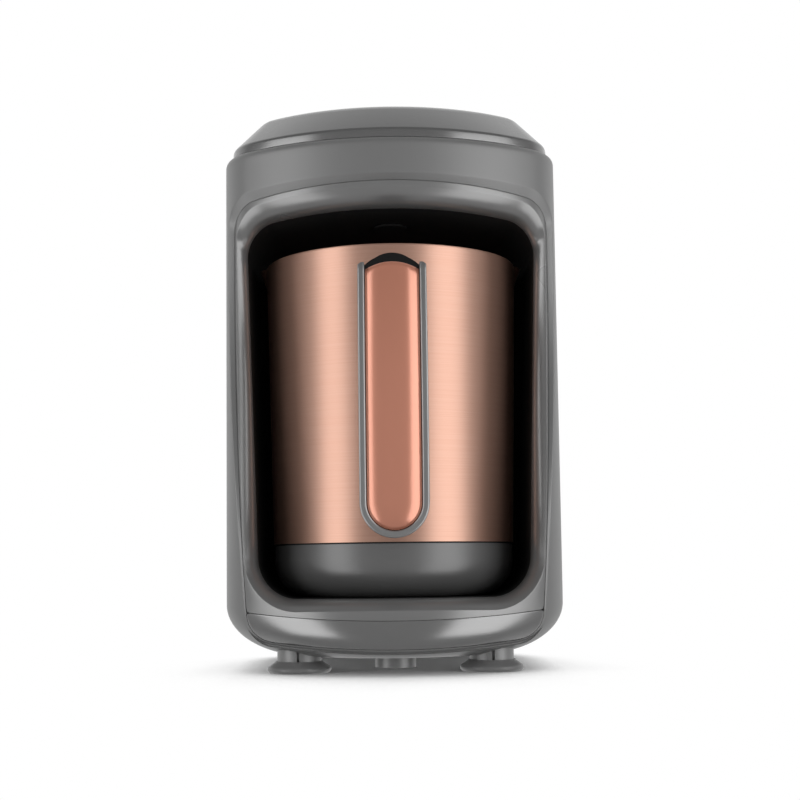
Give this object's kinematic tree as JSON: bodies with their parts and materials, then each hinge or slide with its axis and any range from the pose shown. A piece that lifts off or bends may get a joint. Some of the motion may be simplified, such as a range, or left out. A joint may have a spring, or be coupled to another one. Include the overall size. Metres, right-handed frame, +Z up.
{
  "type": "electric turkish coffee maker",
  "caption": "Countertop coffee maker with a deep front cavity, a lift-out copper-coloured pot with two pouring lips and a bowed handle, and a push button on top.",
  "frame": {"origin": "on the floor under the middle of the overall size, on the axis of the pot", "axes": "+Z up, +Y towards the back where the cord leaves, +X to the right as the user faces it"},
  "size_m": [0.1376, 0.184, 0.2294],
  "materials": {
    "housing": "satin grey moulding",
    "bezel": "satin grey moulding",
    "liner": "matt black moulding",
    "panel": "gloss black",
    "light_guide": "frosted clear",
    "button": "satin",
    "rubber": "matt",
    "foot_pad": "satin grey",
    "vessel": "brushed copper colour",
    "pot_plastic": "satin grey moulding",
    "insert": "gloss copper colour",
    "frame": "satin grey",
    "core": "gloss black",
    "steel": "bare",
    "heater_metal": "bare",
    "brass": "bare",
    "circuit_board": "green laminate",
    "component": "moulded",
    "coil": "wrapped",
    "relay_case": "moulded",
    "socket_plastic": "moulded",
    "lead": "insulated",
    "ribbon": "flat cable",
    "lamp": "clear"
  },
  "bodies": {
    "machine": {"outer_shell": "housing", "front_base_cover": "bezel", "front_bezel": "bezel", "cavity_liner": "liner", "top_cover": "housing", "control_panel": "panel", "light_ring": "light_guide", "control_board": "circuit_board", "control_board_screws": "steel", "push_switch": "component", "indicator_lamp": "lamp", "buzzer": "component", "sensor_window": "panel", "overflow_sensor": "component", "power_board": "circuit_board", "power_board_screws": "steel", "relay": "relay_case", "transformer": "coil", "terminal_block": "socket_plastic", "socket_block": "socket_plastic", "socket_contacts": "brass", "socket_leads": "lead", "ribbon_cable": "ribbon", "cord_gland": "socket_plastic", "gland_nut": "socket_plastic", "foot_front_left": "foot_pad", "foot_front_right": "foot_pad", "foot_rear_left": "foot_pad", "foot_rear_right": "foot_pad", "service_cover": "pot_plastic", "service_screws": "steel"},
    "pot": {"pot_vessel": "vessel", "pot_base": "pot_plastic", "pot_gasket": "rubber", "pot_hatch_cover": "pot_plastic", "pot_hatch_screws": "steel", "heater_plate": "heater_metal", "heating_element": "steel", "thermostat": "component", "thermal_fuse": "heater_metal", "pot_plug": "socket_plastic", "plug_pins": "brass", "pot_leads": "lead", "handle_frame": "frame", "handle_insert": "insert", "handle_core": "core", "handle_brackets": "steel", "handle_screws": "steel"},
    "start_button": {"start_button": "button"}
  },
  "joints": [
    {"name": "pot_slide", "type": "slide", "parent": "machine", "child": "pot", "axis": [0, -1, 0], "range_m": [0, 0.135]},
    {"name": "button_press", "type": "slide", "parent": "machine", "child": "start_button", "axis": [0, 0, -1], "range_m": [0, 0.0012], "stiffness_N_per_m": 900, "springref_m": -0.001}
  ]
}
